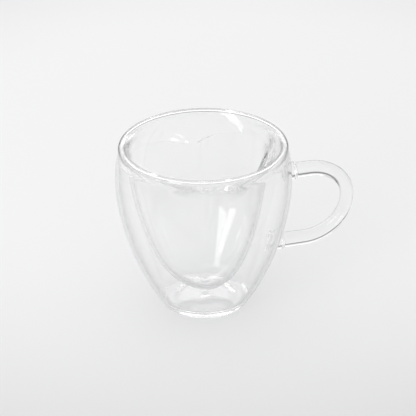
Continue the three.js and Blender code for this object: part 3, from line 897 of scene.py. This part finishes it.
class MUG_OT_stage(bpy.types.Operator):
    """Sets up the table, the studio light and the camera"""

    bl_idname = "mug.stage"
    bl_label = "Stage"

    def execute(self, context):
        """The table is a flat grid. The studio is even, apart from a dark band low on the far side."""
        scene = context.scene
        settings = scene.mug_stage
        shape = MugShape(scene)
        self.table(settings)
        self.studio(scene, settings)
        for lamp in LAMPS:
            soft_lamp(settings, shape, *lamp)
        self.camera(scene, settings, shape)
        scene.view_settings.view_transform = "Standard"
        scene.cycles.max_bounces = LIGHT_BOUNCES
        scene.cycles.transmission_bounces = LIGHT_BOUNCES
        scene.cycles.glossy_bounces = LIGHT_BOUNCES
        scene.cycles.transparent_max_bounces = LIGHT_BOUNCES
        scene.cycles.caustics_refractive = False
        scene.cycles.caustics_reflective = False
        return {"FINISHED"}

    def table(self, settings):
        """A white sheet with a painted pool of light beyond the mug, and painted shade that darkens it
        away from there.
        """
        edge = np.linspace(-TABLE_HALF, TABLE_HALF, TABLE_POINTS)
        across, along = np.meshgrid(edge, edge, indexing="ij")
        grid = np.stack([across, along, 0 * across - TABLE_DROP], axis=-1)
        index = np.arange(TABLE_POINTS ** 2).reshape(TABLE_POINTS, TABLE_POINTS)
        quads = np.stack([index[:-1, :-1], index[1:, :-1], index[1:, 1:], index[:-1, 1:]], axis=-1)
        mesh = bpy.data.meshes.new("table")
        mesh.from_pydata(grid.reshape(-1, 3).tolist(), [], quads.reshape(-1, 4).tolist())
        material = bpy.data.materials.new("table_painted_pool")
        material.use_nodes = True
        tree = material.node_tree
        paint = tree.nodes["Principled BSDF"]
        paint.inputs["Roughness"].default_value = 0.8
        paint.inputs["Specular IOR Level"].default_value = 0.2
        # Painted pool of light: the table's colour fades from white beyond the mug to the darker ground
        # colour away from there.
        place = add_node(tree, "ShaderNodeTexCoord")
        pool = {1: straight_beyond(settings) * settings.pool}
        apart = add_node(tree, "ShaderNodeVectorMath", operation="DISTANCE", inputs=pool)
        away = add_node(tree, "ShaderNodeMapRange", interpolation_type="SMOOTHSTEP", inputs={
            "From Min": settings.pool_radius,
            "From Max": settings.sheet,
        })
        painted_pool = add_node(tree, "ShaderNodeMix", data_type="RGBA", inputs={
            "A": (*settings.table, 1.0),
            "B": (*settings.ground, 1.0),
        })
        wire(
            tree,
            (place, "Object", apart, 0),
            (apart, "Value", away, "Value"),
            (away, "Result", painted_pool, "Factor"),
            (painted_pool, "Result", paint, "Base Color"),
        )
        mesh.materials.append(material)
        table = bpy.data.objects.new("table", mesh)
        bpy.context.scene.collection.objects.link(table)

    def studio(self, scene, settings):
        """An even dome whose far side darkens by smooth steps towards the table."""
        world = bpy.data.worlds.new("studio")
        scene.world = world
        world.use_nodes = True
        tree = world.node_tree
        light = tree.nodes["Background"]
        place = add_node(tree, "ShaderNodeTexCoord")
        far_side = {1: straight_beyond(settings)}
        beyond = add_node(tree, "ShaderNodeVectorMath", operation="DOT_PRODUCT", inputs=far_side)
        across = add_node(tree, "ShaderNodeMapRange", interpolation_type="SMOOTHSTEP", inputs={
            "From Min": 0.0,
            "From Max": settings.skirting_turn,
            "To Min": settings.ceiling,
            "To Max": settings.skirting,
        })
        parts = add_node(tree, "ShaderNodeSeparateXYZ")
        level = add_node(tree, "ShaderNodeMapRange", interpolation_type="SMOOTHSTEP", inputs={
            "From Min": 0.0,
            "From Max": math.sin(settings.skirting_rise),
            "To Max": settings.ceiling,
        })
        wire(
            tree,
            (place, "Generated", beyond, 0),
            (beyond, "Value", across, "Value"),
            (across, "Result", level, "To Min"),
            (place, "Generated", parts, 0),
            (parts, "Z", level, "Value"),
            (level, "Result", light, "Color"),
        )

    def camera(self, scene, settings, shape):
        """A long lens that looks down on the mug, a little to the left of the heart's tip."""
        lens = bpy.data.cameras.new("camera")
        lens.lens = settings.lens
        lens.sensor_width = 36.0
        lens.shift_x = settings.shift_x
        lens.shift_y = settings.shift_y
        lens.clip_start = 0.05
        lens.clip_end = 50.0
        target = Vector((shape.axis_x, 0.0, settings.target_height))
        level = math.cos(settings.elevation)
        back = Vector((
            math.sin(settings.azimuth) * level,
            -math.cos(settings.azimuth) * level,
            math.sin(settings.elevation),
        ))
        right = Vector((0.0, 0.0, 1.0)).cross(back).normalized()
        up = back.cross(right)
        turn, lean = math.cos(settings.roll), math.sin(settings.roll)
        rolled_right = right * turn + up * lean
        rolled_up = up * turn - right * lean
        place = target + back * settings.distance
        camera = bpy.data.objects.new("camera", lens)
        camera.matrix_world = Matrix((
            (rolled_right.x, rolled_up.x, back.x, place.x),
            (rolled_right.y, rolled_up.y, back.y, place.y),
            (rolled_right.z, rolled_up.z, back.z, place.z),
            (0.0, 0.0, 0.0, 1.0),
        ))
        scene.collection.objects.link(camera)
        scene.camera = camera


class MUG_PT_sidebar(bpy.types.Panel):
    """Lists the mug's pieces and sizes"""

    bl_idname = "MUG_PT_sidebar"
    bl_label = "Double-wall mug"
    bl_space_type = "VIEW_3D"
    bl_region_type = "UI"
    bl_category = "Mug"

    def draw(self, context):
        """A button for each operator, then each group of settings in its own box."""
        for maker in MAKERS:
            self.layout.operator(maker.bl_idname)
        for name, group in GROUPS.items():
            box = self.layout.box()
            box.label(text=group.__doc__)
            for field in group.__annotations__:
                box.prop(getattr(context.scene, name), field)


MAKERS = (
    MUG_OT_outer_shell,
    MUG_OT_inner_liner,
    MUG_OT_vent_seal,
    MUG_OT_handle,
    MUG_OT_weld_pads,
    MUG_OT_stage,
)
GROUPS = {
    "mug_wall": MugWallSizes,
    "mug_cup": MugCupSizes,
    "mug_handle": MugHandleSizes,
    "mug_glass": MugGlassFinish,
    "mug_stage": MugStageSettings,
}


def register():
    """Adds the settings, the operators and the panel."""
    for name, group in GROUPS.items():
        bpy.utils.register_class(group)
        setattr(bpy.types.Scene, name, bpy.props.PointerProperty(type=group))
    for maker in MAKERS:
        bpy.utils.register_class(maker)
    bpy.utils.register_class(MUG_PT_sidebar)


def unregister():
    """Takes them off again."""
    bpy.utils.unregister_class(MUG_PT_sidebar)
    for maker in reversed(MAKERS):
        bpy.utils.unregister_class(maker)
    for name, group in reversed(GROUPS.items()):
        delattr(bpy.types.Scene, name)
        bpy.utils.unregister_class(group)


def main():
    """Builds the mug piece by piece, then the stage."""
    register()
    bpy.ops.mug.outer_shell()
    bpy.ops.mug.inner_liner()
    bpy.ops.mug.vent_seal()
    bpy.ops.mug.handle()
    bpy.ops.mug.weld_pads()
    bpy.ops.mug.stage()


if __name__ == "__main__":
    main()
